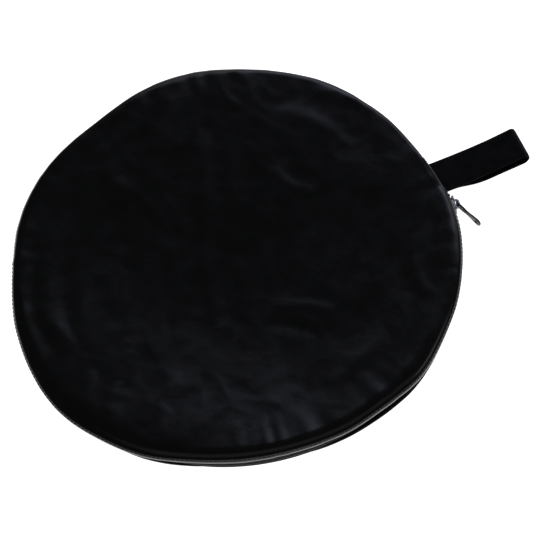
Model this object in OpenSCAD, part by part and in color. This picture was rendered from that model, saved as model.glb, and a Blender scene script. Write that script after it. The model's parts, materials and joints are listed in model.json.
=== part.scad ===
// Collapsible reflector disc, twisted into three coils and packed in its round zipped pouch.
// The pouch lies flat: the origin is the middle of its underside, +Z is up and +X points out along the webbing handle.
// The front of the pouch opens along a half-circle zip, and its flap folds back over the closed half, the pocket.

/* [Pouch] */
// Outer radius of the pouch at its rim
bag_r = 152; // [151:0.5:156]
// Thickness of the packed pouch at its rim
bag_h = 22; // [22:0.5:24]
// Thickness of the pouch cloth
cloth_t = 0.8; // [0.6:0.1:0.9]
// Width of the rounded shoulder inside the rim
shoulder_w = 14; // [12:1:16]
// Direction of the zip's corner nearest the handle, in degrees
mouth_az = -13.5; // [-20:0.5:-13.5]

/* [Zip] */
// Thickness of the chain of teeth
chain_t = 2.4; // [2.2:0.1:2.6]
// Height of the closed chain
chain_h = 6; // [5.5:0.1:6.2]
// Direction in which the slider is parked when the zip is shut, in degrees
slider_az = -9; // [-9.5:0.1:-8.8]
// Length of the slider
slider_l = 11; // [10:0.5:11.5]
// Length of the pull from its hinge to its tip
pull_l = 23; // [20:0.5:26]
// Turn of the pull away from straight out, in degrees
pull_turn = -62; // [-80:1:0]

/* [Handle] */
// Width of the webbing
handle_w = 25.4; // [20:0.1:25.4]
// Thickness of the webbing
webbing_t = 1.4; // [1.2:0.1:1.6]
// Reach of the loop from its hinge line
handle_l = 62; // [50:1:80]

/* [Reflector] */
// Diameter of the disc when it is open
open_d = 800; // [780:5:800]
// Width of the spring band
band_w = 4.5; // [4:0.1:4.8]
// Thickness of the spring band
band_t = 0.8; // [0.6:0.1:0.8]
// Thickness of the folded cloth inside the coils
bundle_h = 12; // [8:1:14]

/* [Hidden] */
$fn = 96;

mid_z = bag_h / 2;          // height of the zip and of the seam
slot_h = 11;                // height of the gap between the two panels' edges, which the zip fills
shoulder_r = bag_r - shoulder_w;
shoulder_h = mid_z - slot_h / 2;
arc_steps = 8;
hinge_gap = 0.3;            // gap between parts that turn against each other
seam_gap = 0.2;             // half of the gap between the two panels at the closed seam

chain_r = bag_r - cloth_t / 2;      // radius of the middle of the chain and of the tapes
tape_t = 0.6;
wedge_gap = 1.2;            // half of the gap in which the slider's wedge runs

slider_arc = slider_l / bag_r * 180 / PI;
park_end = mouth_az - 180 - (slider_az - mouth_az);     // where the slider stops when the zip is open
stop_arc = 0.6;
top_stop_az = slider_az + slider_arc / 2 + 0.2;
bottom_stop_az = park_end - slider_arc / 2 - 0.3;
tab_arc = 0.8;
closed_tab_az = top_stop_az + stop_arc + 0.1;
open_tab_az = bottom_stop_az - stop_arc - 0.1 - tab_arc;
pocket_from = closed_tab_az + tab_arc;                  // the closed seam runs between these two directions
pocket_to = open_tab_az + 360;

plate_t = 1.2;
plate_h = 9.2;
plate_gap = 0.5;            // room between a slider plate and the chain
flange_t = 1.1;
tape_room = 0.8;            // from the middle of the tape to the slider's flanges
outer_plate_u = chain_r + chain_t / 2 + plate_gap;
inner_plate_u = chain_r - chain_t / 2 - plate_gap - plate_t;
pull_u = outer_plate_u + plate_t + 1.4;                 // distance of the pull's hinge line from the middle
pull_t = 1.2;
pull_hole_r = 1.4;
pull_hole_x = pull_l - 3.6;
bridge_half = 1;            // half of the bridge's height along the hinge line
leg_gap = 0.35;

hem_r = webbing_t + 0.3;    // radius of the rolled hem that the loop hangs by
handle_u = bag_r + hem_r + 0.8;     // distance of the handle's hinge line from the middle
tail_in = 7.5;              // how far the webbing's ends reach inside the rim

hoop_r = open_d / 6;        // a hoop of three coils has a third of the open disc's radius
hoop_spread = 6;            // how far a coil wanders from the middle of the bundle
band_x = 0.2;               // inner face of the band, outward from the coils' middle line
binding_out = 2;            // reach of the edge binding outside the band
binding_in = 5;
binding_half = 3.5;         // half of the binding's height
tape_wall = 0.6;
hoop_z = cloth_t + 0.4 + hoop_spread + binding_half;
hoop_rings = 90;

// A solid turned about the Z axis from one direction to another.
module turned(from, to) {
    rotate([0, 0, from]) rotate_extrude(angle = to - from) children();
}

// A rectangle in the turning plane, between two radii and two heights.
module section(r1, r2, z1, z2) {
    translate([r1, z1]) square([r2 - r1, z2 - z1]);
}

// Points of the shoulder's quarter ellipse, shrunk by inset, from the flat face to the rim.
function shoulder(inset) = [for (i = [0 : arc_steps]) let (a = 90 * i / arc_steps)
    [shoulder_r + (shoulder_w - inset) * sin(a), bag_h - shoulder_h + (shoulder_h - inset) * cos(a)]];

function reversed(list) = [for (i = [len(list) - 1 : -1 : 0]) list[i]];

// Half of the front panel's cut: flat face, shoulder and the wall that comes down to the closed seam.
module panel_section() {
    foot = mid_z + seam_gap;
    polygon(concat([[0, bag_h]], shoulder(0), [[bag_r, foot], [bag_r - cloth_t, foot]],
        reversed(shoulder(cloth_t)), [[0, bag_h - cloth_t]]));
}

// The front panel all the way round, without the wall where the zip is.
module panel_shell() {
    difference() {
        rotate_extrude() panel_section();
        turned(pocket_to - 360, pocket_from) section(bag_r - 2, bag_r + 2, mid_z - 1, mid_z + slot_h / 2);
    }
}

module mirrored_in_z() {
    translate([0, 0, bag_h]) mirror([0, 0, 1]) children();
}

// The webbing's two ends where they pass through the seam.
module tail_block() {
    translate([bag_r - tail_in, -handle_w / 2, mid_z - webbing_t])
        cube([tail_in + 0.4, handle_w, 2 * webbing_t]);
}

// The half-space in front of the fold line (side 1) or behind it (side -1), from a distance past the line.
module beyond_fold(side, past) {
    rotate([0, 0, mouth_az + (side > 0 ? 180 : 0)]) translate([-2 * bag_r, past, -bag_h])
        cube([4 * bag_r, 2 * bag_r, 3 * bag_h]);
}

module front_pocket_panel() {
    color("black") difference() {
        panel_shell();
        beyond_fold(1, -hinge_gap / 2);
        tail_block();
    }
}

module front_flap_panel() {
    color("black") difference() {
        panel_shell();
        beyond_fold(-1, -hinge_gap / 2);
    }
}

// The back panel without the stretch of its edge that the coils push flat on their way out.
module back_panel() {
    color("black") difference() {
        mirrored_in_z() panel_shell();
        turned(mouth_az - 180, mouth_az) section(shoulder_r, bag_r + 2, -1, bag_h);
        tail_block();
    }
}

module back_panel_lip() {
    color("black") mirrored_in_z() turned(mouth_az - 180, mouth_az)
        polygon(concat(shoulder(0), reversed(shoulder(cloth_t))));
}

// Bias tape sewn over the raw edges inside the closed seam.
module seam_binding() {
    color("black") difference() {
        turned(pocket_from, pocket_to)
            section(bag_r - cloth_t - 0.8, bag_r - cloth_t, mid_z - 3, mid_z + 3);
        tail_block();
    }
}

// A stretch of the upper zip tape, from the chain to the panel's edge.
module upper_tape(from, to) {
    turned(from, to)
        section(chain_r - tape_t / 2, chain_r + tape_t / 2, mid_z + chain_h / 2, mid_z + slot_h / 2);
}

// A stretch of one half of the chain, drawn as the rail that its closed teeth make.
module upper_chain(from, to) {
    turned(from, to) section(chain_r - chain_t / 2, chain_r + chain_t / 2, mid_z + wedge_gap, mid_z + chain_h / 2);
}

module zip_tape_upper() {
    color("dimgray") intersection() {
        upper_tape(mouth_az - 180, mouth_az);
        beyond_fold(1, hinge_gap / 2);
    }
}

module zip_tape_upper_ends() {
    color("dimgray") intersection() {
        union() {
            upper_tape(mouth_az, closed_tab_az);
            upper_tape(open_tab_az + tab_arc, mouth_az - 180);
        }
        beyond_fold(-1, hinge_gap / 2);
    }
}

module zip_tape_lower() {
    color("dimgray") mirrored_in_z() upper_tape(open_tab_az + tab_arc, closed_tab_az);
}

module zip_chain_upper() {
    color("gray") intersection() {
        upper_chain(mouth_az - 180, mouth_az);
        beyond_fold(1, hinge_gap / 2);
    }
}

module zip_chain_upper_ends() {
    color("gray") intersection() {
        union() {
            upper_chain(mouth_az, top_stop_az);
            upper_chain(bottom_stop_az, mouth_az - 180);
        }
        beyond_fold(-1, hinge_gap / 2);
    }
}

module zip_chain_lower() {
    color("gray") mirrored_in_z() upper_chain(bottom_stop_az, top_stop_az);
}

module stop_clip(z1, z2, from) {
    turned(from, from + stop_arc) section(chain_r - chain_t / 2 - 0.2, chain_r + chain_t / 2 + 0.2, z1, z2);
}

module top_stop_upper() {
    color("silver") stop_clip(mid_z + wedge_gap, mid_z + chain_h / 2, top_stop_az);
}

module top_stop_lower() {
    color("silver") mirrored_in_z() stop_clip(mid_z + wedge_gap, mid_z + chain_h / 2, top_stop_az);
}

module bottom_stop() {
    color("silver") stop_clip(mid_z - chain_h / 2, mid_z + chain_h / 2, bottom_stop_az - stop_arc);
}

// A strip of pouch cloth that closes the panels' gap past the end of the zip.
module end_tab(from) {
    turned(from, from + tab_arc)
        section(chain_r - tape_t / 2, bag_r, mid_z - slot_h / 2, mid_z + slot_h / 2);
}

module closed_end_tab() {
    color("black") end_tab(closed_tab_az);
}

module open_end_tab() {
    color("black") end_tab(open_tab_az);
}

// A slider plate's outline, wide at the nose, which points to the handle, and narrow at the tail.
function plate_outline() = let (h = plate_h / 2, l = slider_l / 2)
    [[-l, -h + 1.6], [-l + 0.8, -h + 0.8], [0.5, -h + 0.8], [1.5, -h], [l - 1.5, -h], [l, -h + 1.5],
     [l, h - 1.5], [l - 1.5, h], [1.5, h], [0.5, h - 0.8], [-l + 0.8, h - 0.8], [-l, h - 1.6]];

// A prism along the radius, from an outline given along the rim and up.
module along_radius(u, t) {
    translate([u, 0, mid_z]) rotate([90, 0, 90]) linear_extrude(t) children();
}

// Flanges that keep the chain in the slider, with a slot for the tape between the two.
module flange(side, u1, u2) {
    translate([u1, -slider_l / 2 + 0.8, mid_z + side * (plate_h / 2 - flange_t / 2) - flange_t / 2])
        cube([u2 - u1, slider_l / 2 + 0.4, flange_t]);
}

module slider_body() {
    color("slategray") rotate([0, 0, slider_az]) {
        along_radius(outer_plate_u, plate_t) polygon(plate_outline());
        along_radius(inner_plate_u, plate_t) polygon(plate_outline());
        along_radius(inner_plate_u, outer_plate_u + plate_t - inner_plate_u)
            polygon([[1.6, 0], [3.6, -0.85], [5.2, -0.6], [5.2, 0.6], [3.6, 0.85]]);
        for (side = [-1, 1]) {
            flange(side, chain_r + tape_room, outer_plate_u);
            flange(side, inner_plate_u + plate_t, chain_r - tape_room);
        }
        bridge();
    }
}

// The arch on the slider's face that the pull hangs from.
module bridge() {
    base_u = outer_plate_u + plate_t;
    translate([base_u, 0, mid_z - bridge_half]) linear_extrude(2 * bridge_half)
        difference() {
            polygon([[-0.1, -3.6], [2, -3.6], [3.4, -2], [3.4, 2], [2, 3.6], [-0.1, 3.6]]);
            polygon([[0, -2.4], [1.5, -2.4], [2.4, -1.4], [2.4, 1.4], [1.5, 2.4], [0, 2.4]]);
        }
}

// Half of the pull's outline, from its legs to its round end, as [along, up].
function pull_side() = let (r = 3.2) concat(
    [[4.6, 2.4], [6.5, 2.4], [9, 1.7], [13, 1.9], [pull_hole_x - 3.4, 2.6]],
    [for (a = [110 : -20 : -90]) [pull_hole_x + 0.4 + r * cos(a), max(0, r * sin(a))]]);

module pull_tab() {
    side = [for (p = pull_side()) if (p[1] > 0) p];
    outline = concat(side, reversed([for (p = side) [p[0], -p[1]]]));
    color("gray") rotate([0, 0, slider_az]) translate([pull_u, 0, mid_z]) rotate([0, 0, pull_turn]) {
        cylinder(r = 0.7, h = 4.8, center = true);
        for (side = [-1, 1])
            translate([0, -pull_t / 2, side > 0 ? bridge_half + leg_gap : -2.4])
                cube([4.8, pull_t, 2.4 - bridge_half - leg_gap]);
        translate([0, pull_t / 2, 0]) rotate([90, 0, 0]) difference() {
            linear_extrude(pull_t) polygon(outline);
            translate([pull_hole_x, 0, -1]) cylinder(r = pull_hole_r, h = pull_t + 2);
        }
    }
}

module handle_tails() {
    color("black") tail_block();
}

function bezier(p0, p1, p2, p3, t) =
    pow(1 - t, 3) * p0 + 3 * t * pow(1 - t, 2) * p1 + 3 * t * t * (1 - t) * p2 + pow(t, 3) * p3;

// The loop's two layers as curves from the hinge line to the round end, [out, up].
// The lower layer comes down to the surface that the pouch lies on, and the end stands open.
end_r = 4.2;                        // radius of the middle of the webbing round the loop's end
low_z = -mid_z + webbing_t / 2 + 0.1;
end_x = handle_l - end_r - webbing_t / 2;
layer_steps = 9;
function lower_layer(t) = bezier([0, -webbing_t / 2], [12, -1.4], [16, low_z], [34, low_z], t);
function upper_layer(t) =
    bezier([0, webbing_t / 2], [14, -1], [26, low_z + 2 * end_r], [end_x, low_z + 2 * end_r], t);

function unit(v) = v / norm(v);
function normal_at(a, b) = let (d = unit(b - a)) [-d[1], d[0]];

// A layer's curve moved sideways by off, from a share of its length up to its end.
function layer_edge(which, off, from) = [for (i = [0 : layer_steps - 1]) let (
        t = from + (1 - from) * i / layer_steps,
        e = 0.001,
        p = which > 0 ? upper_layer(t) : lower_layer(t),
        q = which > 0 ? upper_layer(t - e) : lower_layer(t - e))
    p + off * normal_at(q, p)];

function end_arc(r) = [for (a = [-90 : 18 : 90]) [end_x + r * cos(a), low_z + end_r + r * sin(a)]];

module loop_section() {
    half = webbing_t / 2;
    hole_from = 0.42;               // share of each layer over which the two lie together
    difference() {
        union() {
            polygon(concat(layer_edge(-1, -half, 0.02), end_arc(end_r + half),
                reversed(layer_edge(1, half, 0.02))));
            circle(r = hem_r, $fn = 48);
        }
        polygon(concat(layer_edge(-1, half, hole_from), end_arc(end_r - half),
            reversed(layer_edge(1, -half, hole_from))));
    }
}

module handle_loop() {
    color("black") translate([handle_u, handle_w / 2, mid_z]) rotate([90, 0, 0])
        linear_extrude(handle_w) loop_section();
}

// The middle of the band: three turns in one closed curve, whose coils change places as they go round.
function strand(a) = [hoop_r + hoop_spread * cos(a / 3), hoop_z + hoop_spread * sin(a / 3)];

function swept_point(p, a) = let (c = strand(a), r = c[0] + p[0]) [r * cos(a), r * sin(a), c[1] + p[1]];

// Sweeps a convex outline, or one that closes on itself, along the coils from one ring to another.
module along_coils(outline, from, to) {
    n = len(outline);
    whole = to - from >= hoop_rings;
    rings = whole ? hoop_rings : to - from + 1;
    points = [for (i = [0 : rings - 1], p = outline) swept_point(p, (from + i) * 1080 / hoop_rings)];
    sides = [for (i = [0 : (whole ? rings : rings - 1) - 1], j = [0 : n - 1]) let (
            a = i * n + j, b = i * n + (j + 1) % n,
            c = ((i + 1) % rings) * n + (j + 1) % n, d = ((i + 1) % rings) * n + j)
        each [[a, c, b], [a, d, c]]];
    ends = whole ? [] : [[for (j = [0 : n - 1]) j], [for (j = [n - 1 : -1 : 0]) (rings - 1) * n + j]];
    polyhedron(points, concat(sides, ends));
}

// A rectangle across the band, between two distances outward from the coils' middle line.
function across(x1, x2, half) = [[x1, -half], [x1, half], [x2, half], [x2, -half]];

module spring_band() {
    color("lightsteelblue") along_coils(across(band_x, band_x + band_t, band_w / 2), 0, hoop_rings);
}

// The crimped sleeve that joins the band's two ends, with its slit on the inside.
module band_splice_sleeve() {
    gap = 0.1;
    wall = 0.25;
    slit = 0.2;
    color("silver") difference() {
        along_coils(across(band_x - gap - wall, band_x + band_t + gap + wall, band_w / 2 + gap + wall), 4, 5);
        along_coils(across(band_x - gap, band_x + band_t + gap, band_w / 2 + gap), 3, 6);
        along_coils(across(band_x - 1, band_x, slit), 3, 6);
    }
}

// Folded tape over the band, open on the inside, where the cloth is sewn in.
module edge_binding() {
    o = binding_out;
    h = binding_half;
    t = tape_wall;
    seam = binding_in - 3.5;        // where the tape's two sides start to come together
    color("black") along_coils([[-binding_in, -1.3], [-binding_in, -0.6], [-seam, t - h], [o - t, t - h],
        [o - t, h - t], [-seam, h - t], [-binding_in, 0.6], [-binding_in, 1.3],
        [-seam, h], [o, h], [o, -h], [-seam, -h]], 0, hoop_rings);
}

module reflector_cloth() {
    r = hoop_r - hoop_spread - binding_in - 0.8;
    h = bundle_h / 2;
    color("gainsboro") translate([0, 0, hoop_z])
        rotate_extrude() polygon([[0, -h], [r - 6, -h], [r, -h + 3], [r, h - 3], [r - 6, h], [0, h]]);
}

// A short loop of tape on the hoop's edge, at the back of the pocket.
module hang_loop() {
    out_r = hoop_r + hoop_spread + binding_out;
    color("black") rotate([0, 0, mouth_az + 90]) translate([out_r, 0, hoop_z])
        rotate([90, 0, 0]) linear_extrude(8, center = true) difference() {
            polygon([[0.3, -3.2], [4.4, -3.2], [6, -1.6], [6, 1.6], [4.4, 3.2], [0.3, 3.2]]);
            polygon([[1.1, -2.4], [4, -2.4], [5.2, -1.2], [5.2, 1.2], [4, 2.4], [1.1, 2.4]]);
        }
}

back_panel();
back_panel_lip();
front_pocket_panel();
front_flap_panel();
seam_binding();
zip_tape_lower();
zip_tape_upper();
zip_tape_upper_ends();
zip_chain_lower();
zip_chain_upper();
zip_chain_upper_ends();
top_stop_lower();
top_stop_upper();
bottom_stop();
closed_end_tab();
open_end_tab();
slider_body();
pull_tab();
handle_tails();
handle_loop();
spring_band();
band_splice_sleeve();
edge_binding();
reflector_cloth();
hang_loop();
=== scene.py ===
import json
import math

import bmesh
import bpy
import numpy as np
from mathutils import Matrix, Vector, noise

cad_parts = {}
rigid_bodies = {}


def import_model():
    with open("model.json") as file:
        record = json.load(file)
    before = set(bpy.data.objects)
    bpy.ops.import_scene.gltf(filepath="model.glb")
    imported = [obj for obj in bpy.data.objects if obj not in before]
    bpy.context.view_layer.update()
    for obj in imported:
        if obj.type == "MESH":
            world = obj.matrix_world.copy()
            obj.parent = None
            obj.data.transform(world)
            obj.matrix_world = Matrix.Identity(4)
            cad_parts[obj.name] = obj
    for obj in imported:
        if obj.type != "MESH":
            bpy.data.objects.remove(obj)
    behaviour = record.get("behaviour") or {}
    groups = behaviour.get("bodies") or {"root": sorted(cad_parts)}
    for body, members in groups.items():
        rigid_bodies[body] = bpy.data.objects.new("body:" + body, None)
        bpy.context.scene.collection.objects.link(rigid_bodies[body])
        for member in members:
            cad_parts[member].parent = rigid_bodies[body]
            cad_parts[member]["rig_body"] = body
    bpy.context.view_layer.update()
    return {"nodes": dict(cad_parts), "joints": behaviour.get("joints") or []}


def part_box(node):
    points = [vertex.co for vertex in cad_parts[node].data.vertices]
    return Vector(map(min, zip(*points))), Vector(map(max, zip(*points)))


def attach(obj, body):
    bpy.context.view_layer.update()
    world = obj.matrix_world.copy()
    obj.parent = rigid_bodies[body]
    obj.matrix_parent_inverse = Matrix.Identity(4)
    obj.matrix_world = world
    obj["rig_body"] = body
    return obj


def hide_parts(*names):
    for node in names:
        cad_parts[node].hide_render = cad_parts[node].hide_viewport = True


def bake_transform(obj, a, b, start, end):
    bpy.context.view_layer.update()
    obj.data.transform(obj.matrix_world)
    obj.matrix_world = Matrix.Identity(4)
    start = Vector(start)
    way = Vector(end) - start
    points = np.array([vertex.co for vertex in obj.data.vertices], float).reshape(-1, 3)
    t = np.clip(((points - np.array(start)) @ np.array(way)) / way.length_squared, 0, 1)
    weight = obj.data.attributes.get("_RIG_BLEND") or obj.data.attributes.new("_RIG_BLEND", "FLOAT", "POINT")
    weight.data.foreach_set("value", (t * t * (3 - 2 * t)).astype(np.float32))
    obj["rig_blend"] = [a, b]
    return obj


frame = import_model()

MM = 0.001
JOINTS = {joint["name"]: joint for joint in frame["joints"]}


def in_mm(vector):
    return np.array(vector, float) / MM


# ---------------------------------------------------------------- sizes taken from the frame
RIM_R = in_mm(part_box("back_panel")[1])[1]
SEAM_Z = JOINTS["zip_run"]["pos_m"][2] / MM
TOP_Z = in_mm(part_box("front_flap_panel")[1])[2]
PANEL_EDGE_Z = in_mm(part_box("zip_tape_upper")[1])[2]
CHAIN_R = RIM_R - 0.4
FOLD_AXIS = -Vector(JOINTS["flap_open"]["axis"])
FOLD_AZ = math.degrees(math.atan2(FOLD_AXIS.y, FOLD_AXIS.x))
MOUTH_WAY = np.array([FOLD_AXIS.y, -FOLD_AXIS.x, 0.0])
SLIDER_AZ = math.degrees(math.atan2(*reversed(JOINTS["pull_swing"]["pos_m"][:2])))
HINGE_X = JOINTS["handle_swing"]["pos_m"][0] / MM
HANDLE_END = in_mm(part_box("handle_loop")[1])[0]
HANDLE_HALF = in_mm(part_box("handle_loop")[1])[1]
ZIP_FROM = 2 * FOLD_AZ - 180 - SLIDER_AZ
ZIP_TO = SLIDER_AZ
HOOP_Z = in_mm(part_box("edge_binding"))[:, 2].mean()

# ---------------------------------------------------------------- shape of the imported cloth
CLOTH_T = 0.5
REACH = 2.4                 # how far the shoulder of the front panel bulges past the rim
RIDGE_IN = 5.0              # the ridge over the coils lies this far inside the rim
RIDGE_Z = TOP_Z + 0.7
SAG = 8.5                   # how far the middle of the front panel hangs below the ridge
SAG_SPOT = (-4, -26)        # where it hangs lowest
# Places where the cloth bulges out of the outline or is drawn into it: direction, reach, spread.
EDGE_BULGES = [
    (9, -7.6, 17), (32, -4.5, 13), (54, -4.2, 13), (68, -2.4, 9), (110, -5.0, 14),
    (160, -2.4, 12), (204, 6.2, 18), (227, 3.0, 10), (278, 1.4, 9), (300, 4.0, 11), (320, 1.6, 10),
]
BACK_BULGES = [(254, -2.9, 16), (295, 1.2, 12)]
# Folds of the front panel: start, end, sideways bow, height and half width.
FOLDS = [
    ((14, 112), (-16, 20), 4, 0.5, 6),
    ((-12, 18), (-30, -50), -3, 0.35, 5),
    ((66, 96), (104, 40), 7, 0.35, 6),
    ((44, 62), (70, 20), -5, 0.35, 5),
    ((96, 100), (130, 62), 4, 0.6, 6),
    ((8, -46), (46, -70), 3, 0.35, 4),
    ((-4, -58), (30, -82), 4, -0.3, 4),
    ((-108, 74), (-134, -30), -16, -0.6, 5),
    ((-92, 58), (-118, -34), -12, -0.45, 6),
    ((-116, -46), (-136, -70), 2, 0.4, 4),
    ((-102, -60), (-119, -82), -2, 0.35, 4),
    ((-84, -86), (-94, -108), 2, 0.3, 4.5),
    ((121, -40), (106, -88), -8, 0.5, 5),
    ((134, -24), (112, -58), 5, -0.4, 4),
    ((-52, 96), (-70, 44), 5, 0.35, 7),
    ((-40, 20), (-92, -40), 8, -0.4, 8),
    ((70, -96), (20, -118), 4, 0.5, 5),
    ((-20, 130), (-64, 112), 3, 0.4, 5),
]


def smooth(t):
    t = np.clip(t, 0, 1)
    return t * t * (3 - 2 * t)


def turn_between(az, centre):
    """The signed turn from centre to az, in degrees, from -180 to 180."""
    return (az - centre + 180) % 360 - 180


def at(az):
    """Unit vectors that point outwards in the directions az, in degrees."""
    return np.stack([np.cos(np.radians(az)), np.sin(np.radians(az))], -1)


def bulge(az, bulges=EDGE_BULGES):
    return sum(size * np.exp(-(turn_between(az, centre) / spread) ** 2) for centre, size, spread in bulges)


def on_zip(az):
    """1 where the rim is closed by the zip, 0 where it is sewn shut, in degrees."""
    middle = (ZIP_FROM + ZIP_TO) / 2
    half = (ZIP_TO - ZIP_FROM) / 2 + 5.2
    return smooth((half - np.abs(turn_between(az, middle))) / 2.2)


def mix(a, b, t):
    return a + (b - a) * t


def noise_at(points, size, seed):
    """Smooth noise of about that size in mm at each point, from -1 to 1."""
    return np.array([noise.noise(Vector((p[0] / size + seed, p[1] / size, seed * 1.7))) for p in points])


def crumple(plan):
    """Height of the small, sharp, wandering creases of thin cloth that has been packed and unpacked."""
    drift = np.stack([noise_at(plan, 48, 2.9), noise_at(plan, 48, 9.1)], 1)
    wandering = plan + 14 * drift
    strength = 0.35 + 0.65 * smooth(noise_at(plan, 70, 6.3) + 0.5)
    broad = 1 - 3 * np.abs(noise_at(wandering, 42, 4.4))
    small = 1 - 3 * np.abs(noise_at(wandering, 19, 8.2))
    return strength * (0.17 * broad + 0.07 * small)


def stroke(points, start, end, bow):
    """Signed distance from a bowed stroke at each point, and the share of its length there."""
    start, end = np.array(start, float), np.array(end, float)
    along = (end - start) / np.linalg.norm(end - start)
    side = np.array([-along[1], along[0]])
    share = np.clip((points - start) @ along / np.linalg.norm(end - start), 0, 1)
    nearest = start + np.outer(share, end - start) + np.outer(4 * bow * share * (1 - share), side)
    away = points - nearest
    return np.sign(away @ side) * np.linalg.norm(away, axis=1), share


def fold_height(points, start, end, bow, height, half_width):
    """A soft crest along the stroke with a shallow trough beside it, dying out at both ends."""
    distance, share = stroke(points, start, end, bow)
    crest = np.exp(-(distance / half_width) ** 2)
    trough = np.exp(-((distance - 1.7 * half_width) / (1.3 * half_width)) ** 2)
    return height * (crest - 0.45 * trough) * np.sin(np.pi * share) ** 0.6


def rim_gathers(az, seed):
    """Small puckers along a seam, uneven in size and spacing, from about -1 to 1."""
    wander = noise_at(at(az) * 40, 16, seed) * 9
    wave = np.sin(np.radians(az * 37 + 60 * wander)) + 0.6 * np.sin(np.radians(az * 59 + 80 * wander + 40))
    strength = 0.35 + 0.65 * smooth(noise_at(at(az) * 60, 30, seed + 3) + 0.5)
    return wave * strength / 1.6


# ---------------------------------------------------------------- meshes
def mesh_piece(name, points, faces, uv=None, material=None):
    """A new object from points in mm and faces; uv holds each point's place on the flat cloth in mm."""
    mesh = bpy.data.meshes.new(name)
    mesh.from_pydata((np.asarray(points, float) * MM).tolist(), [], [list(map(int, f)) for f in faces])
    if uv is not None:
        layer = mesh.uv_layers.new(name="cloth")
        loops = np.zeros(len(mesh.loops), int)
        mesh.loops.foreach_get("vertex_index", loops)
        layer.data.foreach_set("uv", (np.asarray(uv, float) * MM)[loops].ravel())
    mesh.shade_smooth()
    piece = bpy.data.objects.new(name, mesh)
    bpy.context.scene.collection.objects.link(piece)
    if material:
        mesh.materials.append(material)
    return piece


def grid_faces(rows, columns, wrap_rows=False, wrap_columns=False):
    """Quads over rows by columns points, joined end to end where they wrap."""
    from_row = np.arange(rows - (not wrap_rows))
    from_column = np.arange(columns - (not wrap_columns))
    i, j = np.meshgrid(from_row, from_column, indexing="ij")
    i2, j2 = (i + 1) % rows, (j + 1) % columns
    corners = [i * columns + j, i * columns + j2, i2 * columns + j2, i2 * columns + j]
    return np.stack(corners, -1).reshape(-1, 4)


def disc_grid(cells):
    """Radius share and direction of a square grid's points when the square is eased into a disc."""
    line = np.linspace(-1, 1, cells + 1)
    x, y = (a.ravel() for a in np.meshgrid(line, line))
    share = np.maximum(np.abs(x), np.abs(y))
    wide = np.abs(x) >= np.abs(y)
    safe = np.where(share > 0, share, 1)
    quarter = np.where(wide, y / safe * np.sign(x), x / safe * np.sign(y)) * 45
    beside = np.where(x >= 0, quarter, 180 + quarter)
    above = np.where(y >= 0, 90 - quarter, 270 - quarter)
    return share, np.where(share > 0, np.where(wide, beside, above), 0)


def finished(piece):
    """Turns the piece's modifiers into plain mesh."""
    graph = bpy.context.evaluated_depsgraph_get()
    made = bpy.data.meshes.new_from_object(piece.evaluated_get(graph), depsgraph=graph)
    piece.modifiers.clear()
    piece.data = made
    return piece


def thicken(piece, thickness, offset=-1.0):
    wall = piece.modifiers.new("thickness", "SOLIDIFY")
    wall.thickness = thickness * MM
    wall.offset = offset
    wall.use_even_offset = False
    return finished(piece)


def outward(piece):
    """Makes a closed piece's faces point outwards."""
    work = bmesh.new()
    work.from_mesh(piece.data)
    bmesh.ops.remove_doubles(work, verts=work.verts, dist=1e-6)
    bmesh.ops.recalc_face_normals(work, faces=work.faces)
    work.to_mesh(piece.data)
    work.free()
    return piece


def softened(node, name, edge, material):
    """A copy of a CAD node with its edges rounded, which stands for the node on the same body."""
    source = frame["nodes"][node]
    piece = bpy.data.objects.new(name, source.data.copy())
    bpy.context.scene.collection.objects.link(piece)
    work = bmesh.new()
    work.from_mesh(piece.data)
    bmesh.ops.remove_doubles(work, verts=work.verts, dist=2e-6)
    bmesh.ops.dissolve_limit(work, angle_limit=math.radians(1), verts=work.verts, edges=work.edges)
    bmesh.ops.recalc_face_normals(work, faces=work.faces)
    work.to_mesh(piece.data)
    work.free()
    piece.data.materials.clear()
    piece.data.materials.append(material)
    bevel = piece.modifiers.new("rounded edges", "BEVEL")
    bevel.width = edge * MM
    bevel.segments = 3
    bevel.limit_method = "ANGLE"
    bevel.angle_limit = math.radians(30)
    finished(piece)
    piece.data.shade_smooth()
    body = source["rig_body"]
    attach(piece, body)
    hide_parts(node)
    return piece


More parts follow.
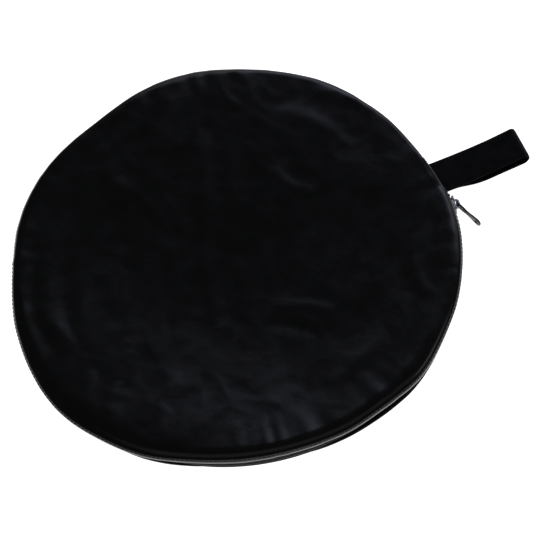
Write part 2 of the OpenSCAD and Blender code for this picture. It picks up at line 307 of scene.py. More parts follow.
# ---------------------------------------------------------------- materials
class Finish:
    """A material whose nodes are added one by one, with the last shader on its own socket."""

    def __init__(self, name, base, roughness, metallic=0.0):
        self.material = bpy.data.materials.new(name)
        self.material.use_nodes = True
        self.tree = self.material.node_tree
        self.shader = self.tree.nodes["Principled BSDF"]
        self.shader.inputs["Base Color"].default_value = (*base, 1)
        self.shader.inputs["Roughness"].default_value = roughness
        self.shader.inputs["Metallic"].default_value = metallic
        self.bumps = None

    def node(self, kind, **settings):
        made = self.tree.nodes.new(kind)
        for key, value in settings.items():
            setattr(made, key, value)
        return made

    def link(self, output, socket):
        self.tree.links.new(output, socket)

    def place(self, source, scale):
        """Coordinates from the object ("Object") or from the cloth's own flat map ("UV"), scaled."""
        coordinates = self.node("ShaderNodeTexCoord")
        mapping = self.node("ShaderNodeMapping")
        mapping.inputs["Scale"].default_value = scale if hasattr(scale, "__len__") else (scale,) * 3
        self.link(coordinates.outputs[source], mapping.inputs["Vector"])
        return mapping.outputs["Vector"]

    def noise(self, where, scale, detail=3.0, roughness=0.55):
        made = self.node("ShaderNodeTexNoise")
        made.inputs["Scale"].default_value = scale
        made.inputs["Detail"].default_value = detail
        made.inputs["Roughness"].default_value = roughness
        self.link(where, made.inputs["Vector"])
        return made.outputs["Fac"]

    def math(self, operation, a, b=None):
        made = self.node("ShaderNodeMath", operation=operation)
        for socket, value in zip(made.inputs, (a, b)):
            if value is None:
                continue
            if isinstance(value, (int, float)):
                socket.default_value = value
            else:
                self.link(value, socket)
        return made.outputs[0]

    def between(self, factor, low, high, start=0.3, end=0.7):
        """A number that runs from low to high as factor runs from start to end."""
        made = self.node("ShaderNodeMapRange")
        for key, value in (("From Min", start), ("From Max", end), ("To Min", low), ("To Max", high)):
            made.inputs[key].default_value = value
        self.link(factor, made.inputs["Value"])
        return made.outputs["Result"]

    def colours(self, factor, stops):
        ramp = self.node("ShaderNodeValToRGB")
        ramp.color_ramp.elements[0].position = stops[0][0]
        ramp.color_ramp.elements[0].color = (*stops[0][1], 1)
        ramp.color_ramp.elements[1].position = stops[-1][0]
        ramp.color_ramp.elements[1].color = (*stops[-1][1], 1)
        for position, colour in stops[1:-1]:
            ramp.color_ramp.elements.new(position).color = (*colour, 1)
        self.link(factor, ramp.inputs["Fac"])
        self.link(ramp.outputs["Color"], self.shader.inputs["Base Color"])

    def roughness(self, factor, low, high):
        self.link(self.between(factor, low, high), self.shader.inputs["Roughness"])

    def bump(self, height, distance_mm, strength=1.0):
        made = self.node("ShaderNodeBump")
        made.inputs["Distance"].default_value = distance_mm * MM
        made.inputs["Strength"].default_value = strength
        self.link(height, made.inputs["Height"])
        if self.bumps:
            self.link(self.bumps, made.inputs["Normal"])
        self.bumps = made.outputs["Normal"]
        self.link(self.bumps, self.shader.inputs["Normal"])

    def sheen(self, weight, roughness, tint):
        self.shader.inputs["Sheen Weight"].default_value = weight
        self.shader.inputs["Sheen Roughness"].default_value = roughness
        self.shader.inputs["Sheen Tint"].default_value = (*tint, 1)

    def weave(self, where):
        """Height of a plain weave whose threads are one unit apart: over and under in turn."""
        axes = self.node("ShaderNodeSeparateXYZ")
        self.link(where, axes.inputs[0])
        across = self.math("SINE", self.math("MULTIPLY", axes.outputs[0], math.pi))
        along = self.math("SINE", self.math("MULTIPLY", axes.outputs[1], math.pi))
        over = self.math("MULTIPLY", across, along)
        warp = self.math("MULTIPLY", self.math("ABSOLUTE", across), self.math("MAXIMUM", over, 0.0))
        under = self.math("MULTIPLY", over, -1.0)
        weft = self.math("MULTIPLY", self.math("ABSOLUTE", along), self.math("MAXIMUM", under, 0.0))
        return self.math("ADD", warp, weft)


def pouch_cloth():
    """Black coated nylon taffeta: fine plain weave, soft bluish sheen, faint scuffs and crumple."""
    finish = Finish("black nylon", (0.004, 0.004, 0.0055), 0.5)
    broad = finish.noise(finish.place("UV", 22.0), 1.0, 5.0, 0.6)
    finish.colours(broad, [
        (0.25, (0.0018, 0.0018, 0.002)),
        (0.55, (0.0032, 0.0032, 0.0036)),
        (0.8, (0.0055, 0.0055, 0.0064)),
    ])
    finish.roughness(finish.noise(finish.place("UV", 60.0), 1.0, 4.0), 0.13, 0.22)
    finish.bump(finish.weave(finish.place("UV", 1 / (0.42 * MM))), 0.02, 0.35)
    finish.bump(finish.noise(finish.place("UV", 80.0), 1.0, 3.0, 0.5), 0.9, 0.12)
    finish.shader.inputs["Specular IOR Level"].default_value = 0.3
    finish.sheen(0.01, 0.35, (0.6, 0.65, 1.0))
    return finish.material


def webbing():
    """Black polyester webbing: thick ribs across, finer threads along."""
    finish = Finish("black webbing", (0.004, 0.004, 0.0045), 0.75)
    patchy = finish.noise(finish.place("UV", 160.0), 1.0, 4.0)
    finish.colours(patchy, [(0.3, (0.0025, 0.0025, 0.003)), (0.75, (0.008, 0.008, 0.009))])
    finish.bump(finish.weave(finish.place("UV", (1 / (0.9 * MM), 1 / (1.3 * MM), 1.0))), 0.28, 0.9)
    finish.bump(finish.noise(finish.place("UV", 2600.0), 1.0, 2.0), 0.05, 0.5)
    finish.shader.inputs["Specular IOR Level"].default_value = 0.05
    finish.sheen(0.04, 0.5, (0.8, 0.85, 1.0))
    return finish.material


def tape(name, source, base):
    """Knitted zip tape and edge tape: a small, matt rib."""
    finish = Finish(name, base, 0.8)
    lighter = tuple(2.2 * c for c in base)
    finish.colours(finish.noise(finish.place(source, 180.0), 1.0, 3.0), [(0.3, base), (0.75, lighter)])
    finish.bump(finish.weave(finish.place(source, 1 / (0.6 * MM))), 0.1, 0.8)
    finish.shader.inputs["Specular IOR Level"].default_value = 0.06
    finish.sheen(0.04, 0.5, (0.8, 0.85, 1.0))
    return finish.material


def nylon_coil():
    finish = Finish("nylon coil", (0.005, 0.005, 0.006), 0.45)
    finish.shader.inputs["Specular IOR Level"].default_value = 0.06
    fine = finish.noise(finish.place("Object", 900.0), 1.0, 2.0)
    finish.colours(fine, [(0.3, (0.003, 0.003, 0.0035)), (0.7, (0.008, 0.008, 0.009))])
    finish.roughness(fine, 0.38, 0.55)
    finish.bump(fine, 0.04, 0.4)
    return finish.material


def thread(name, base):
    finish = Finish(name, base, 0.6)
    fine = finish.noise(finish.place("Object", 2600.0), 1.0, 2.0)
    finish.colours(fine, [(0.3, tuple(0.7 * c for c in base)), (0.7, tuple(1.6 * c for c in base))])
    finish.bump(fine, 0.06, 0.6)
    return finish.material


def dark_metal(name, base, roughness):
    """Dark nickel or black enamel on die-cast zinc, with small scratches and worn, lighter patches."""
    finish = Finish(name, base, roughness, 0.9)
    patchy = finish.noise(finish.place("Object", 420.0), 1.0, 5.0, 0.65)
    lighter = tuple(1.5 * c for c in base)
    worn = tuple(min(1, 3.2 * c) for c in base)
    finish.colours(patchy, [(0.35, base), (0.6, lighter), (0.72, worn)])
    finish.roughness(patchy, roughness - 0.08, roughness + 0.18)
    scratches = finish.noise(finish.place("Object", (300.0, 2600.0, 2600.0)), 1.0, 2.0)
    finish.bump(scratches, 0.03, 0.5)
    return finish.material


def steel_strip():
    finish = Finish("blued spring steel", (0.34, 0.36, 0.42), 0.3, 1.0)
    grain = finish.noise(finish.place("Object", (60.0, 60.0, 3800.0)), 1.0, 3.0)
    finish.colours(grain, [(0.3, (0.22, 0.24, 0.32)), (0.7, (0.46, 0.48, 0.52))])
    finish.roughness(grain, 0.2, 0.42)
    finish.bump(grain, 0.02, 0.5)
    return finish.material


def reflector_face(name, base, roughness, metallic):
    """Coated reflector cloth with sharp small crumples from being folded."""
    finish = Finish(name, base, roughness, metallic)
    crumple = finish.noise(finish.place("UV", 55.0), 1.0, 7.0, 0.68)
    finish.colours(crumple, [(0.3, tuple(0.78 * c for c in base)), (0.7, base)])
    finish.roughness(crumple, roughness - 0.08, roughness + 0.12)
    finish.bump(crumple, 1.6, 0.5)
    finish.bump(finish.weave(finish.place("UV", 1 / (0.5 * MM))), 0.05, 0.4)
    return finish.material


NYLON = pouch_cloth()
WEBBING = webbing()
ZIP_TAPE = tape("zip tape", "UV", (0.006, 0.006, 0.007))
EDGE_TAPE = tape("edge tape", "UV", (0.007, 0.007, 0.008))
PLAIN_TAPE = tape("seam tape", "Object", (0.006, 0.006, 0.007))
COIL = nylon_coil()
BLACK_THREAD = thread("black thread", (0.009, 0.009, 0.011))
SLIDER_METAL = dark_metal("dark nickel slider", (0.17, 0.17, 0.18), 0.3)
PULL_METAL = dark_metal("dark nickel pull", (0.03, 0.03, 0.033), 0.36)
STOP_METAL = dark_metal("black enamel", (0.03, 0.03, 0.033), 0.38)
SPRING_STEEL = steel_strip()
SLEEVE_STEEL = dark_metal("crimped sleeve", (0.5, 0.5, 0.5), 0.32)
SILVER = reflector_face("silver reflector cloth", (0.92, 0.93, 0.95), 0.38, 0.12)
WHITE = reflector_face("white reflector cloth", (0.82, 0.82, 0.81), 0.8, 0.0)


# ---------------------------------------------------------------- things that repeat
def repeat_tree():
    """Sets a unit along a line at even spacing: its X runs along the line and its Z points out."""
    tree = bpy.data.node_groups.new("units along a line", "GeometryNodeTree")
    sockets = {}
    kinds = {"Line": "Geometry", "Unit": "Object", "Spacing": "Float", "Finish": "Material"}
    for name, kind in kinds.items():
        socket = tree.interface.new_socket(name, in_out="INPUT", socket_type="NodeSocket" + kind)
        sockets[name] = socket.identifier
    tree.interface.new_socket("Units", in_out="OUTPUT", socket_type="NodeSocketGeometry")
    new, link = tree.nodes.new, tree.links.new
    inputs, outputs = new("NodeGroupInput"), new("NodeGroupOutput")
    curve = new("GeometryNodeMeshToCurve")
    points = new("GeometryNodeCurveToPoints")
    points.mode = "LENGTH"
    info = new("GeometryNodeObjectInfo")
    out = new("GeometryNodeInputNamedAttribute")
    out.data_type = "FLOAT_VECTOR"
    out.inputs["Name"].default_value = "out"
    along = new("FunctionNodeAlignRotationToVector")
    along.axis = "X"
    facing = new("FunctionNodeAlignRotationToVector")
    facing.axis = "Z"
    facing.pivot_axis = "X"
    instance = new("GeometryNodeInstanceOnPoints")
    realize = new("GeometryNodeRealizeInstances")
    paint = new("GeometryNodeSetMaterial")
    link(inputs.outputs["Line"], curve.inputs["Mesh"])
    link(curve.outputs["Curve"], points.inputs["Curve"])
    link(inputs.outputs["Spacing"], points.inputs["Length"])
    link(inputs.outputs["Unit"], info.inputs["Object"])
    link(points.outputs["Tangent"], along.inputs["Vector"])
    link(along.outputs["Rotation"], facing.inputs["Rotation"])
    link(out.outputs["Attribute"], facing.inputs["Vector"])
    link(points.outputs["Points"], instance.inputs["Points"])
    link(info.outputs["Geometry"], instance.inputs["Instance"])
    link(facing.outputs["Rotation"], instance.inputs["Rotation"])
    link(instance.outputs["Instances"], realize.inputs["Geometry"])
    link(realize.outputs["Geometry"], paint.inputs["Geometry"])
    link(inputs.outputs["Finish"], paint.inputs["Material"])
    link(paint.outputs["Geometry"], outputs.inputs["Units"])
    return tree, sockets


REPEAT, REPEAT_SOCKETS = repeat_tree()


def unit_shape(name, size, around=8, rings=6, squareness=0.6):
    """A small rounded bar or bead, of that size in mm, centred on its own origin."""
    points = []
    for i in range(rings + 1):
        tilt = math.pi * i / rings - math.pi / 2
        for j in range(around):
            turn = 2 * math.pi * j / around
            direction = (math.sin(tilt), math.cos(tilt) * math.cos(turn), math.cos(tilt) * math.sin(turn))
            points.append([math.copysign(abs(c) ** squareness, c) * s / 2 for c, s in zip(direction, size)])
    piece = mesh_piece(name, points, grid_faces(rings + 1, around, wrap_columns=True))
    return outward(piece)


def repeated(name, points, out, unit, spacing, material):
    """Units set along a line of points in mm, each turned to face out, as one plain mesh."""
    mesh = bpy.data.meshes.new(name)
    points = np.asarray(points, float)
    mesh.from_pydata((points * MM).tolist(), [(i, i + 1) for i in range(len(points) - 1)], [])
    attribute = mesh.attributes.new("out", "FLOAT_VECTOR", "POINT")
    attribute.data.foreach_set("vector", np.asarray(out, float).ravel())
    piece = bpy.data.objects.new(name, mesh)
    bpy.context.scene.collection.objects.link(piece)
    modifier = piece.modifiers.new("units", "NODES")
    modifier.node_group = REPEAT
    modifier[REPEAT_SOCKETS["Unit"]] = unit
    modifier[REPEAT_SOCKETS["Spacing"]] = spacing * MM
    modifier[REPEAT_SOCKETS["Finish"]] = material
    finished(piece)
    piece.data.shade_smooth()
    for extra in [a.name for a in piece.data.attributes if a.name == "out"]:
        piece.data.attributes.remove(piece.data.attributes[extra])
    return piece


# ---------------------------------------------------------------- pouch cloth
FLAT_SHARE = 0.92           # share of the way from the middle to the seam that lies flat
SHOULDER_SHARE = 0.972      # and up to which the shoulder reaches its widest
CLOTH_R = 163.0             # radius of each panel's cut: the way along the cloth from middle to seam
SEAM_IN = 3.5               # the closed seam is sewn this far inside the shoulder
RIDGE_FOLLOWS = 0.3         # share of an edge bulge that the cloth over the coils follows
ZIP_FOLLOWS = 0.45          # and that the back panel follows beside the zip
SAG_SWING = 46              # how far the sag swings to one side at SAG_SWING_AT from the middle
SAG_SWING_AT = 130
BACK_FLAT_IN = 17           # the back panel leaves the ground this far inside the rim


def front_reach(az):
    """How far from the middle the front panel's shoulder reaches."""
    return RIM_R + REACH + bulge(az)


def shoulder_turns(share):
    """How far along its flat part a panel is, and its turns down over the shoulder and in to the seam."""
    flat = np.clip(share / FLAT_SHARE, 0, 1)
    over = np.clip((share - FLAT_SHARE) / (SHOULDER_SHARE - FLAT_SHARE), 0, 1) * math.pi / 2
    tuck = np.clip((share - SHOULDER_SHARE) / (1 - SHOULDER_SHARE), 0, 1) * math.pi / 2
    return flat, over, tuck


def hang_of(flat, az, ridge):
    """How far the front panel hangs below its ridge: deepest off the middle, with a swing to one side."""
    off_middle = at(az) * (flat * ridge)[:, None] - np.outer(1 - flat ** 2, SAG_SPOT)
    swing = np.clip(-off_middle[:, 0] / SAG_SWING_AT, 0, 1) ** 2
    off_middle[:, 1] -= SAG_SWING * swing * (1 - flat ** 4)
    share = np.clip(np.linalg.norm(off_middle, axis=1) / ridge, 0, 1)
    return SAG * (1 - share ** 1.8)


def wrinkles(plan, share, az):
    """Height of the folds, swells, creases and rim gathers of the front panel."""
    folds = 0.55 * sum(fold_height(plan, *fold) for fold in FOLDS)
    swells = 0.4 * noise_at(plan, 62, 1.3)
    near_rim = smooth((share - 0.75) / 0.2)
    at_seam = smooth((share - 0.95) / 0.05)
    gathers = 0.15 * rim_gathers(az, 5.0) * near_rim * (1 - 0.75 * at_seam)
    return folds + swells + crumple(plan) + gathers


def front_cloth(share, az):
    """Points of the front panel and the way out of it: share is 0 in the middle and 1 at the seam."""
    zipped = on_zip(az)
    reach = front_reach(az)
    ridge = RIM_R - RIDGE_IN + RIDGE_FOLLOWS * bulge(az)
    seam_r = mix(reach - SEAM_IN, CHAIN_R - 0.1, zipped)
    seam_z = mix(SEAM_Z + 0.15, PANEL_EDGE_Z - 0.3, zipped)
    wide_z = mix(SEAM_Z + 2.4, PANEL_EDGE_Z + 0.9, zipped)
    flat, down, tuck = shoulder_turns(share)
    ridge_z = RIDGE_Z + 0.5 * flat ** 3 * noise_at(at(az) * 140, 55, 4.2)
    radius = flat * ridge + (reach - ridge) * np.sin(down) ** 0.9 - (reach - seam_r) * (1 - np.cos(tuck))
    drop = (ridge_z - wide_z) * (1 - np.cos(down)) ** 1.6 + (wide_z - seam_z) * np.sin(tuck)
    height = ridge_z - hang_of(flat, az, ridge) - drop
    lean = down + 0.6 * tuck
    plan = at(az) * radius[:, None]
    out = np.concatenate([at(az) * np.sin(lean)[:, None], np.cos(lean)[:, None]], 1)
    points = np.concatenate([plan, height[:, None]], 1) + out * wrinkles(plan, share, az)[:, None]
    return points, out


def back_cloth(share, az):
    """Points of the back panel, flat on the surface it lies on, and the way out of it."""
    zipped = on_zip(az)
    push = bulge(az)
    zip_reach = RIM_R + 1.0 + ZIP_FOLLOWS * push + bulge(az, BACK_BULGES)
    reach = mix(front_reach(az) - 1.6, zip_reach, zipped)
    flat_r = RIM_R - BACK_FLAT_IN + RIDGE_FOLLOWS * push
    lower_edge_z = 2 * SEAM_Z - PANEL_EDGE_Z
    seam_r = mix(front_reach(az) - SEAM_IN, CHAIN_R - 0.1, zipped)
    seam_z = mix(SEAM_Z - 0.15, lower_edge_z + 0.3, zipped)
    wide_z = mix(SEAM_Z - 2.6, lower_edge_z - 0.8, zipped)
    flat, up, tuck = shoulder_turns(share)
    radius = flat * flat_r + (reach - flat_r) * np.sin(up) - (reach - seam_r) * (1 - np.cos(tuck))
    height = wide_z * (1 - np.cos(up)) + (seam_z - wide_z) * np.sin(tuck)
    plan = at(az) * radius[:, None]
    gathers = 0.3 * rim_gathers(az, 8.0) * smooth((share - 0.84) / 0.1)
    ripple = 0.3 + 0.3 * noise_at(plan, 40, 3.3) + gathers
    height = np.maximum(height + np.clip(ripple, 0, 1) * (1 - smooth((share - 0.95) / 0.05)), 0.05)
    lean = up + 0.6 * tuck
    points = np.concatenate([plan, height[:, None]], 1)
    out = np.concatenate([at(az) * np.sin(lean)[:, None], -np.cos(lean)[:, None]], 1)
    return points, out


def panel(name, surface, upward):
    cells = 176
    share, az = disc_grid(cells)
    points, _ = surface(share, az)
    faces = grid_faces(cells + 1, cells + 1)
    if not upward:
        faces = faces[:, ::-1]
    piece = mesh_piece(name, points, faces, at(az) * (share * CLOTH_R)[:, None], NYLON)
    return thicken(piece, CLOTH_T)


def across_fold(piece):
    """Bends a piece between the pouch and its flap, over a soft band along the fold line."""
    half_band = 11 * MM
    way = Vector(MOUTH_WAY)
    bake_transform(piece, "pouch", "flap", start=tuple(-way * half_band), end=tuple(way * half_band))


def make_panels():
    front = panel("front_panel_cloth", front_cloth, True)
    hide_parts("front_pocket_panel", "front_flap_panel")
    across_fold(front)
    back = panel("back_panel_cloth", back_cloth, False)
    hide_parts("back_panel", "back_panel_lip")
    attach(back, "pouch")


def make_seam_stitches():
    """A row of stitches beside the seam on each panel, which follows the cloth's own puckers."""
    stitch = unit_shape("stitch unit", (2.3, 0.5, 0.42), squareness=0.8)
    az = np.linspace(FOLD_AZ, FOLD_AZ + 360, 1441)
    for name, surface, share in (("front", front_cloth, 0.962), ("back", back_cloth, 0.955)):
        points, out = surface(np.full(len(az), share), az)
        row = repeated(name + "_seam_stitches", points + 0.05 * out, out, stitch, 3.1, BLACK_THREAD)
        if name == "front":
            across_fold(row)
        else:
            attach(row, "pouch")
    bpy.data.objects.remove(stitch)


# ---------------------------------------------------------------- zip
def tape_strip(name, az_from, az_to, z_low, z_high, radius):
    """A curved strip of zip tape."""
    az = np.arange(az_from, az_to + 0.2, 0.5)
    az[-1] = az_to
    heights = np.linspace(z_low, z_high, 7)
    ring, level = (a.ravel() for a in np.meshgrid(az, heights, indexing="ij"))
    points = np.concatenate([at(ring) * radius, level[:, None]], 1)
    uv = np.stack([np.radians(ring) * radius, level], 1)
    piece = mesh_piece(name, points, grid_faces(len(az), len(heights)), uv, ZIP_TAPE)
    return thicken(piece, 0.5, 0.0)


TOOTH = (0.95, 3.3, 1.9)    # a tooth's size along the chain, across it and out of it
TOOTH_PITCH = 1.3
TOOTH_LAP = 0.35            # how far the teeth of one half reach past the middle of the chain
TOOTH_GAP = -0.9            # and how far each half stops short of the middle past the mouth's two ends


def make_zip():
    tape_reach = PANEL_EDGE_Z - SEAM_Z + 0.6
    tooth = unit_shape("tooth unit", TOOTH, squareness=0.55)
    stop = in_mm(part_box("top_stop_lower")).mean(0)
    zip_end = math.degrees(math.atan2(stop[1], stop[0])) - 0.45
    zip_start = 2 * FOLD_AZ - 180 - zip_end
    far_fold = FOLD_AZ - 180
    # Name, body, first and last direction, side, reach past the middle, nodes replaced by tape and teeth.
    parts = (
        ("upper_flap", "flap", far_fold + 0.1, FOLD_AZ - 0.1, 1, TOOTH_LAP,
         "zip_tape_upper", "zip_chain_upper"),
        ("upper_closed_end", "pouch", FOLD_AZ + 0.1, zip_end, 1, TOOTH_GAP,
         "zip_tape_upper_ends", "zip_chain_upper_ends"),
        ("upper_open_end", "pouch", zip_start, far_fold - 0.1, 1, TOOTH_GAP, None, None),
        ("lower", "pouch", far_fold, FOLD_AZ, -1, TOOTH_LAP, "zip_tape_lower", "zip_chain_lower"),
        ("lower_closed_end", "pouch", FOLD_AZ, zip_end, -1, TOOTH_GAP, None, None),
        ("lower_open_end", "pouch", zip_start, far_fold, -1, TOOTH_GAP, None, None),
    )
    for name, body, az_from, az_to, side, past, tape_node, chain_node in parts:
        low, high = sorted((SEAM_Z + side * 1.9, SEAM_Z + side * tape_reach))
        strip = tape_strip("zip_tape_" + name, az_from, az_to, low, high, CHAIN_R - 0.15)
        half_pitch = 0 if side > 0 else math.degrees(TOOTH_PITCH / 2 / CHAIN_R)
        az = np.arange(az_from + half_pitch + 0.2, az_to - 0.15, 0.25)
        middle = SEAM_Z + side * (TOOTH[1] / 2 - past)
        points = np.concatenate([at(az) * (CHAIN_R + 0.1), np.full((len(az), 1), middle)], 1)
        out = np.concatenate([at(az), np.zeros((len(az), 1))], 1)
        teeth = repeated("zip_teeth_" + name, points, out, tooth, TOOTH_PITCH, COIL)
        for piece, node, slot_name in ((strip, tape_node, "zip_tape"), (teeth, chain_node, "zip_teeth")):
            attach(piece, body)
            if node:
                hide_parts(node)
    bpy.data.objects.remove(tooth)
    for node in ("top_stop_upper", "top_stop_lower", "bottom_stop"):
        softened(node, node + "_clip", 0.2, STOP_METAL)
    for node in ("closed_end_tab", "open_end_tab"):
        softened(node, node + "_cloth", 0.15, PLAIN_TAPE)
    softened("slider_body", "zip_slider", 0.22, SLIDER_METAL)
    softened("pull_tab", "zip_pull", 0.25, PULL_METAL)


# ---------------------------------------------------------------- handle
def bezier(p0, p1, p2, p3, t):
    p0, p1, p2, p3 = (np.array(p, float) for p in (p0, p1, p2, p3))
    t = t[:, None]
    return (1 - t) ** 3 * p0 + 3 * t * (1 - t) ** 2 * p1 + 3 * t * t * (1 - t) * p2 + t ** 3 * p3


PLY_HALF = 0.7              # half the way between the two plies of webbing in the seam
END_R = 4.2                 # radius of the turn at the far end of the loop
TOUCH_X = 34                # where the lower ply first lies on the ground, from the hinge
TAIL_L = 9.0                # length of each end inside the seam
HANDLE_LEAN = 0.07          # how far the soft loop leans to one side for each mm of its reach


def handle_line():
    """The middle of the webbing, [out, up] from the hinge: in the seam, out below, round, and back above."""
    reach = HANDLE_END - HINGE_X - END_R - PLY_HALF
    floor_z = PLY_HALF + 0.1 - SEAM_Z
    top_z = floor_z + 2 * END_R
    below = bezier((0, -PLY_HALF), (12, -1.4), (16, floor_z), (TOUCH_X, floor_z), np.linspace(0, 1, 30))
    straight = np.stack([np.linspace(TOUCH_X, reach, 14)[1:-1], np.full(12, floor_z)], 1)
    turn = np.radians(np.linspace(-90, 90, 15))
    bend = np.stack([reach + END_R * np.cos(turn), floor_z + END_R + END_R * np.sin(turn)], 1)
    above = bezier((0, PLY_HALF), (14, -1), (26, top_z), (reach, top_z), np.linspace(1, 0, 40))
    tail_in = np.array([[-TAIL_L, -PLY_HALF], [-TAIL_L * 2 / 3, -PLY_HALF], [-TAIL_L / 3, -PLY_HALF]])
    tail_out = tail_in[::-1] * [1, -1]
    return np.concatenate([tail_in, below, straight, bend, above[1:], tail_out])


def resampled(line, step):
    gaps = np.linalg.norm(np.diff(line, axis=0), axis=1)
    length = np.concatenate([[0], np.cumsum(gaps)])
    places = np.linspace(0, length[-1], int(length[-1] / step) + 1)
    return np.stack([np.interp(places, length, line[:, k]) for k in range(line.shape[1])], 1), places


def make_handle():
    line, places = resampled(handle_line(), 0.65)
    tangent = np.gradient(line, axis=0)
    tangent /= np.linalg.norm(tangent, axis=1)[:, None]
    normal = np.stack([-tangent[:, 1], tangent[:, 0]], 1)
    turns = np.linspace(0, 2 * math.pi, 48, endpoint=False)
    wide = np.sign(np.cos(turns)) * np.abs(np.cos(turns)) ** 0.35
    thick = np.sign(np.sin(turns)) * np.abs(np.sin(turns)) ** 0.5
    rows = []
    uv = []
    for point, across, place in zip(line, normal, places):
        rib = 0.05 * math.sin(2 * math.pi * place / 1.3)
        half_width = HANDLE_HALF * (0.985 + 0.012 * math.sin(place / 9.0))
        sideways = HANDLE_LEAN * max(point[0], 0) + 0.3 * math.sin(place / 23.0)
        half_thick = 0.62 + rib * 0.5
        selvedge = 0.06 * np.exp(-((np.abs(wide) - 0.9) / 0.05) ** 2)
        out = point[None, :] + np.outer(thick * (half_thick + selvedge), across)
        rows.append(np.stack([HINGE_X + out[:, 0], wide * half_width + sideways, SEAM_Z + out[:, 1]], 1))
        around = np.where(thick >= 0, wide, 2.2 - wide) * half_width
        uv.append(np.stack([around, np.full(len(turns), place)], 1))
    faces = [list(f) for f in grid_faces(len(rows), len(turns), wrap_columns=True)]
    faces += [list(range(len(turns)))[::-1], [(len(rows) - 1) * len(turns) + j for j in range(len(turns))]]
    strap = mesh_piece("handle_webbing", np.concatenate(rows), faces, np.concatenate(uv), WEBBING)
    outward(strap)
    strap.data.shade_smooth()
    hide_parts("handle_loop", "handle_tails")
    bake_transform(strap, "pouch", "handle", start=((RIM_R - 0.5) * MM, 0, 0), end=((HINGE_X + 4.5) * MM, 0, 0))


def make_bartack():
    """A dense row of stitches over the webbing's ends, on both panels."""
    stitch = unit_shape("bar stitch unit", (0.6, 2.6, 0.5), squareness=0.8)
    spread = math.degrees(HANDLE_HALF / RIM_R)
    az = np.linspace(-spread, spread, 60)
    for name, surface in (("front", front_cloth), ("back", back_cloth)):
        points, out = surface(np.full(len(az), 0.93), az)
        row = repeated(name + "_bartack", points + 0.05 * out, out, stitch, 0.75, BLACK_THREAD)
        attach(row, "pouch")
    bpy.data.objects.remove(stitch)


# ---------------------------------------------------------------- reflector
OPEN_D = 800.0
HOOP_R = OPEN_D / 6
HOOP_SPREAD = 6.0           # the three coils lie this far round their shared middle
BINDING_IN, BINDING_OUT, BINDING_HALF = 5.0, 2.0, 3.5
CLOTH_LAYERS = 9            # a disc folded to a third of its width lies nine deep
LAYER_STEPS = 110


def along_coils(section, turns):
    """Points of a section, [out, up], carried along the coils, one ring for each angle in degrees."""
    third = np.radians(turns / 3)[:, None]
    radius = HOOP_R + HOOP_SPREAD * np.cos(third) + section[None, :, 0]
    height = HOOP_Z + HOOP_SPREAD * np.sin(third) + section[None, :, 1]
    way = at(turns)
    return np.stack([radius * way[:, :1], radius * way[:, 1:], height], -1)


def make_binding():
    """Folded tape over the spring band, sewn to the cloth along its inner edge."""
    turns = np.arange(0, 1080, 2.0)
    o, h, i = BINDING_OUT, BINDING_HALF, BINDING_IN
    upper = [
        (o, h - 1.2), (o - 0.7, h - 0.3), (0.0, h), (-1.5, h - 0.4),
        (-3.0, 2.3), (-i + 1.2, 1.5), (-i, 1.0),
    ]
    lower = [(x, -z) for x, z in reversed(upper)]
    section = np.array(lower + [(o, 0.0)] + upper)
    rings = along_coils(section, turns)
    around = np.cumsum(np.r_[0, np.linalg.norm(np.diff(section, axis=0), axis=1)])
    uv = np.stack(np.broadcast_arrays(around[None, :], (np.radians(turns) * HOOP_R)[:, None]), -1)
    faces = grid_faces(len(turns), len(section), wrap_rows=True, wrap_columns=True)
    piece = mesh_piece("hoop_binding", rings.reshape(-1, 3), faces, uv.reshape(-1, 2), EDGE_TAPE)
    outward(piece)
    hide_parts("edge_binding")
    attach(piece, "reflector")
    stitch = unit_shape("binding stitch unit", (2.2, 0.45, 0.4), squareness=0.8)
    for name, side in (("upper", 1), ("lower", -1)):
        line = along_coils(np.array([(-i + 1.6, side * 1.75)]), np.arange(0, 1080, 3.0))[:, 0]
        out = np.tile([0.0, 0.0, float(side)], (len(line), 1))
        row = repeated("binding_stitches_" + name, line, out, stitch, 4.2, BLACK_THREAD)
        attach(row, "reflector")
    bpy.data.objects.remove(stitch)


def make_reflector_cloth():
    """The disc's cloth as layers inside the coils, drawn as one winding ramp, silver and white in turn."""
    inner, outer = 1.0, HOOP_R - HOOP_SPREAD - BINDING_IN + 0.6
    low, high = HOOP_Z - 4.6, HOOP_Z + 0.6
    turns = np.linspace(0, 360 * CLOTH_LAYERS, CLOTH_LAYERS * LAYER_STEPS + 1)
    shares = np.linspace(0, 1, 26)
    ring, share = (a.ravel() for a in np.meshgrid(turns, shares, indexing="ij"))
    radius = inner + (outer - inner) * share
    plan = at(ring) * radius[:, None]
    swirl = np.sin(np.radians(ring * 3 + share * 200) + 1.2 * noise_at(plan, 50, 3.7))
    swirl = (1 - 2 * np.sqrt(swirl ** 2 + 0.03)) * smooth(share / 0.4)
    pleats = np.sin(np.radians(ring * 9 + share * 500) + 2 * noise_at(plan, 60, 5.7))
    pleats = pleats * smooth(share / 0.6 - 0.3)
    wave = 0.9 * swirl + 0.5 * pleats + 0.5 * noise_at(plan, 30, 6.1)
    creased = 0.25 * (1 - 2 * np.abs(noise_at(plan, 14, 11.0)))
    height = low + (high - low) * ring / turns[-1] + wave + creased
    points = np.concatenate([plan, height[:, None]], 1)
    uv = at(ring * 0.37) * (radius + 20)[:, None]
    faces = grid_faces(len(turns), len(shares))
    piece = mesh_piece("reflector_cloth_folds", points, faces, uv, SILVER)
    piece.data.materials.append(WHITE)
    layer_of_face = np.repeat(np.arange(len(turns) - 1) // LAYER_STEPS, len(shares) - 1)
    piece.data.polygons.foreach_set("material_index", (layer_of_face % 2 == 1).astype(np.int32))
    thicken(piece, 0.2, 0.0)
    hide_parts("reflector_cloth")
    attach(piece, "reflector")


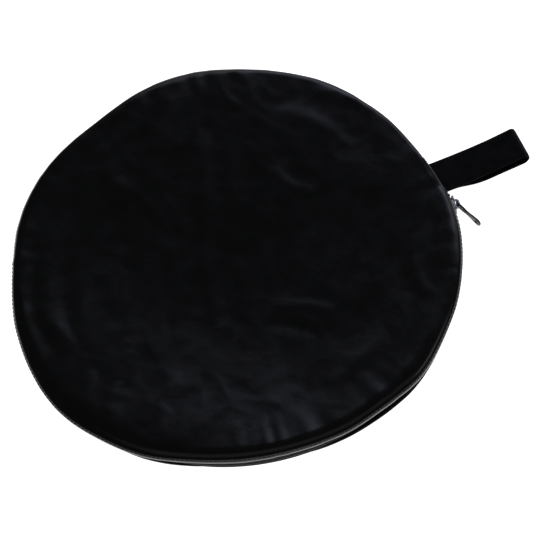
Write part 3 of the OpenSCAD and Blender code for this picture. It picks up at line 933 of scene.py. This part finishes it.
def make_seam_binding():
    """Bias tape folded over the raw edges inside the closed seam."""
    az = np.arange(FOLD_AZ + 9, FOLD_AZ + 171, 1.0)
    section = np.array([(-0.4, -3.0), (-1.2, -2.6), (-1.5, 0.0), (-1.2, 2.6), (-0.4, 3.0)])
    inside_shoulder = 3.4
    radius = (front_reach(az) - inside_shoulder)[:, None] + section[None, :, 0]
    height = np.broadcast_to(SEAM_Z + section[None, :, 1], radius.shape)
    rings = np.concatenate([at(az)[:, None, :] * radius[:, :, None], height[:, :, None]], 2)
    uv = np.stack(np.broadcast_arrays(section[None, :, 1], (np.radians(az) * RIM_R)[:, None]), -1)
    faces = grid_faces(len(az), len(section))
    piece = mesh_piece("seam_binding_tape", rings.reshape(-1, 3), faces, uv.reshape(-1, 2), EDGE_TAPE)
    thicken(piece, 0.4, 0.0)
    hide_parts("seam_binding")
    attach(piece, "pouch")


def dress_inner_nodes():
    """Finishes for the plain pieces that keep their CAD shape."""
    for node, material in (("spring_band", SPRING_STEEL), ("band_splice_sleeve", SLEEVE_STEEL)):
        data = frame["nodes"][node].data
        data.materials.clear()
        data.materials.append(material)
    softened("hang_loop", "hang_loop_tape", 0.2, PLAIN_TAPE)


# ---------------------------------------------------------------- camera, floor and light
VIEW_AZ = -101.4            # the direction from the pouch to the camera
VIEW_EL = 60.0
VIEW_ROLL = 11.65
VIEW_FAR = 1300.0
VIEW_WIDTH = 367.2          # width that the camera sees at the pouch
AIM_RIGHT, AIM_UP = 24.004, -8.16
SENSOR = 36


def toward(az, el):
    return np.array([*(at(az) * math.cos(math.radians(el))), math.sin(math.radians(el))])


def look(location, forward, roll):
    """A matrix in metres that looks along forward, turned clockwise by roll degrees."""
    forward = Vector(forward).normalized()
    right = forward.cross(Vector((0, 0, 1))).normalized()
    up = right.cross(forward)
    c, s = math.cos(math.radians(roll)), math.sin(math.radians(roll))
    right, up = right * c - up * s, up * c + right * s
    turn = Matrix((right, up, -forward)).transposed()
    return Matrix.Translation(Vector(location) * MM) @ turn.to_4x4(), np.array(right), np.array(up)


def make_camera():
    data = bpy.data.cameras.new("camera")
    camera = bpy.data.objects.new("camera", data)
    bpy.context.scene.collection.objects.link(camera)
    back = toward(VIEW_AZ, VIEW_EL)
    _, right, up = look((0, 0, 0), -back, VIEW_ROLL)
    aim = np.array([0, 0, SEAM_Z]) + right * AIM_RIGHT + up * AIM_UP
    camera.matrix_world = look(aim + back * VIEW_FAR, -back, VIEW_ROLL)[0]
    data.sensor_width = SENSOR
    data.lens = SENSOR * VIEW_FAR / VIEW_WIDTH
    data.clip_end = 20
    bpy.context.scene.camera = camera


# Each light: name, turn from the camera, elevation, distance, width, height, power in watts and colour.
LIGHTS = (
    ("window light", 152, 31, 1700, 2000, 1240, 4.8, (0.95, 0.97, 1.0)),
    ("side window", 155, 44, 1600, 900, 600, 2.3, (0.7, 0.74, 1.0)),
    ("top fill", 0, 70, 1700, 1800, 1100, 1.2, (0.98, 1.0, 0.98)),
    ("key light", 75, 42, 1400, 500, 500, 0.7, (1.0, 0.98, 0.95)),
)


def area_light(name, az, el, far, width, height, watts, colour):
    data = bpy.data.lights.new(name, "AREA")
    data.shape = "RECTANGLE"
    data.size = width * MM
    data.size_y = height * MM
    data.energy = watts
    data.color = colour
    light = bpy.data.objects.new(name, data)
    bpy.context.scene.collection.objects.link(light)
    way = toward(az, el)
    light.matrix_world = look(way * far, -way, 0)[0]


def make_studio():
    world = bpy.data.worlds.new("studio")
    bpy.context.scene.world = world
    world.use_nodes = True
    background = world.node_tree.nodes["Background"]
    background.inputs["Color"].default_value = (0.96, 1.0, 0.99, 1)
    background.inputs["Strength"].default_value = 0.055
    for name, turn, *rest in LIGHTS:
        area_light(name, VIEW_AZ + turn, *rest)
    finish = Finish("pale floor", (0.93, 0.93, 0.93), 0.9)
    fine = finish.noise(finish.place("Object", 8.0), 1.0, 2.0)
    finish.colours(fine, [(0.3, (0.92, 0.92, 0.92)), (0.7, (0.94, 0.94, 0.94))])
    finish.shader.inputs["Emission Color"].default_value = (1, 1, 1, 1)
    finish.shader.inputs["Emission Strength"].default_value = 0.9
    half = 6000
    corners = [(-half, -half, 0), (half, -half, 0), (half, half, 0), (-half, half, 0)]
    floor = mesh_piece("floor", corners, [(0, 1, 2, 3)], material=finish.material)
    scene = bpy.context.scene
    scene.view_settings.view_transform = "Standard"
    scene.view_settings.look = "None"
    scene.view_settings.exposure = 0.35


make_camera()
make_studio()
make_panels()
make_seam_stitches()
make_zip()
make_handle()
make_bartack()
make_binding()
make_reflector_cloth()
make_seam_binding()
dress_inner_nodes()
